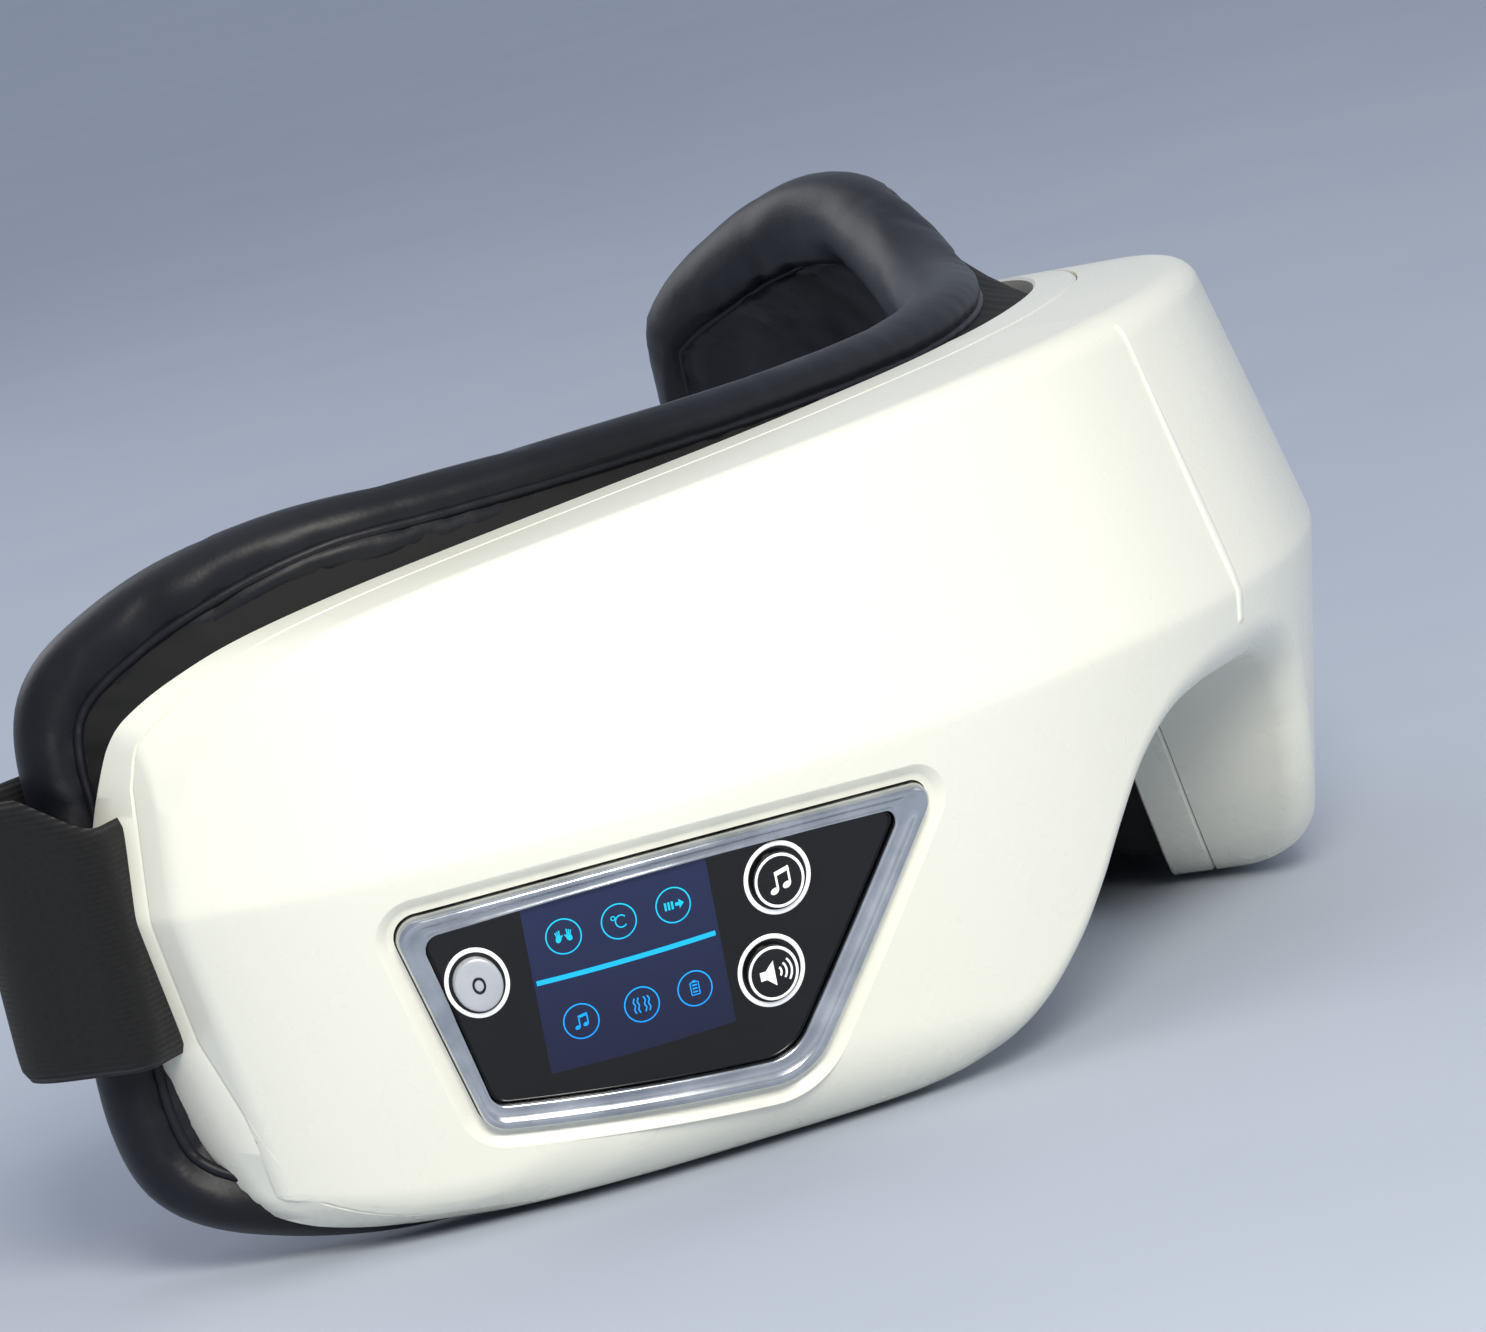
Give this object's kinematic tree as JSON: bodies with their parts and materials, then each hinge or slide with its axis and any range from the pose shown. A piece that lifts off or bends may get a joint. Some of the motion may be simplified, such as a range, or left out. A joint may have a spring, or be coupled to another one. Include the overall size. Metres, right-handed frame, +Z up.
{
  "type": "eye massager mask",
  "caption": "Curved wrap-round eye massager mask with a ridged rigid shell, recessed control panel with display and push keys, padded leather face cushion and elastic head strap.",
  "frame": {"origin": "on the table, at the middle of the assembly's bounding box in plan, where the mask stands on the flat undersides of its two lobes", "axes": "+Z up, -Y out of the front of the mask, +X to the right of a person facing its front"},
  "size_m": [0.2208, 0.1174, 0.0875],
  "materials": {
    "shell": "satin gloss ivory ABS",
    "trim": "satin ivory ABS",
    "bezel": "satin chrome plating",
    "window": "black back-printed acrylic",
    "key_metal": "finely textured",
    "key_black": "moulded gloss",
    "switch": "moulded",
    "board": "solder mask",
    "display": "lit panel",
    "battery": "pouch foil",
    "socket": "moulded",
    "speaker": "moulded",
    "motor_can": "drawn steel",
    "weight": "sintered",
    "pump_plastic": "moulded",
    "spring": "drawn wire",
    "airbag": "welded film",
    "film": "polyimide film",
    "hose": "silicone",
    "screw": "zinc plated",
    "cushion_base": "moulded",
    "leather": "smooth grained",
    "webbing": "woven elastic",
    "slider": "moulded"
  },
  "bodies": {
    "mask": {"front_shell": "shell", "rear_frame": "shell", "centre_trim": "trim", "panel_bezel": "bezel", "panel_window": "window", "key_switches": "switch", "panel_board": "board", "display_module": "display", "control_board": "board", "battery_cell": "battery", "charging_socket": "socket", "left_speaker": "speaker", "right_speaker": "speaker", "left_vibration_motor": "motor_can", "right_vibration_motor": "motor_can", "pump_motor": "motor_can", "pump_head": "pump_plastic", "valve_body": "pump_plastic", "valve_spring": "spring", "left_airbag": "airbag", "right_airbag": "airbag", "left_heating_film": "film", "right_heating_film": "film", "left_air_hose": "hose", "right_air_hose": "hose", "housing_screws": "screw", "cushion_frame": "cushion_base", "face_cushion": "leather", "face_liner": "leather", "head_strap": "webbing", "left_strap_bar": "spring", "right_strap_bar": "spring"},
    "power_key": {"power_key": "key_metal"},
    "music_key": {"music_key": "key_black"},
    "volume_key": {"volume_key": "key_black"},
    "strap_slider": {"strap_slider": "slider"},
    "left_weight": {"left_vibration_weight": "weight"},
    "right_weight": {"right_vibration_weight": "weight"},
    "pump_rotor": {"pump_rotor": "weight"},
    "valve_plunger": {"valve_plunger": "weight"}
  },
  "joints": [
    {"name": "power_key_press", "type": "slide", "parent": "mask", "child": "power_key", "axis": [0.8488, 0.4871, 0.2059], "range_m": [0, 0.0005], "stiffness_N_per_m": 900},
    {"name": "music_key_press", "type": "slide", "parent": "mask", "child": "music_key", "axis": [0.6427, 0.7374, 0.2077], "range_m": [0, 0.0005], "stiffness_N_per_m": 900},
    {"name": "volume_key_press", "type": "slide", "parent": "mask", "child": "volume_key", "axis": [0.6618, 0.7202, 0.2083], "range_m": [0, 0.0005], "stiffness_N_per_m": 900},
    {"name": "strap_slider_adjust", "type": "slide", "parent": "mask", "child": "strap_slider", "axis": [1, 0, 0], "range_m": [-0.03, 0.03]},
    {"name": "left_weight_spin", "type": "hinge", "parent": "mask", "child": "left_weight", "pos_m": [-0.04543, -0.03267, 0.017], "axis": [0, 0, 1], "continuous": true},
    {"name": "right_weight_spin", "type": "hinge", "parent": "mask", "child": "right_weight", "pos_m": [0.04543, -0.03267, 0.017], "axis": [0, 0, 1], "continuous": true},
    {"name": "pump_rotor_spin", "type": "hinge", "parent": "mask", "child": "pump_rotor", "pos_m": [-0.006, -0.0427, 0.06], "axis": [1, 0, 0], "continuous": true},
    {"name": "valve_plunger_slide", "type": "slide", "parent": "mask", "child": "valve_plunger", "axis": [0, 0, -1], "range_m": [0, 0.0015], "stiffness_N_per_m": 150, "deforming": ["valve_spring"]}
  ]
}
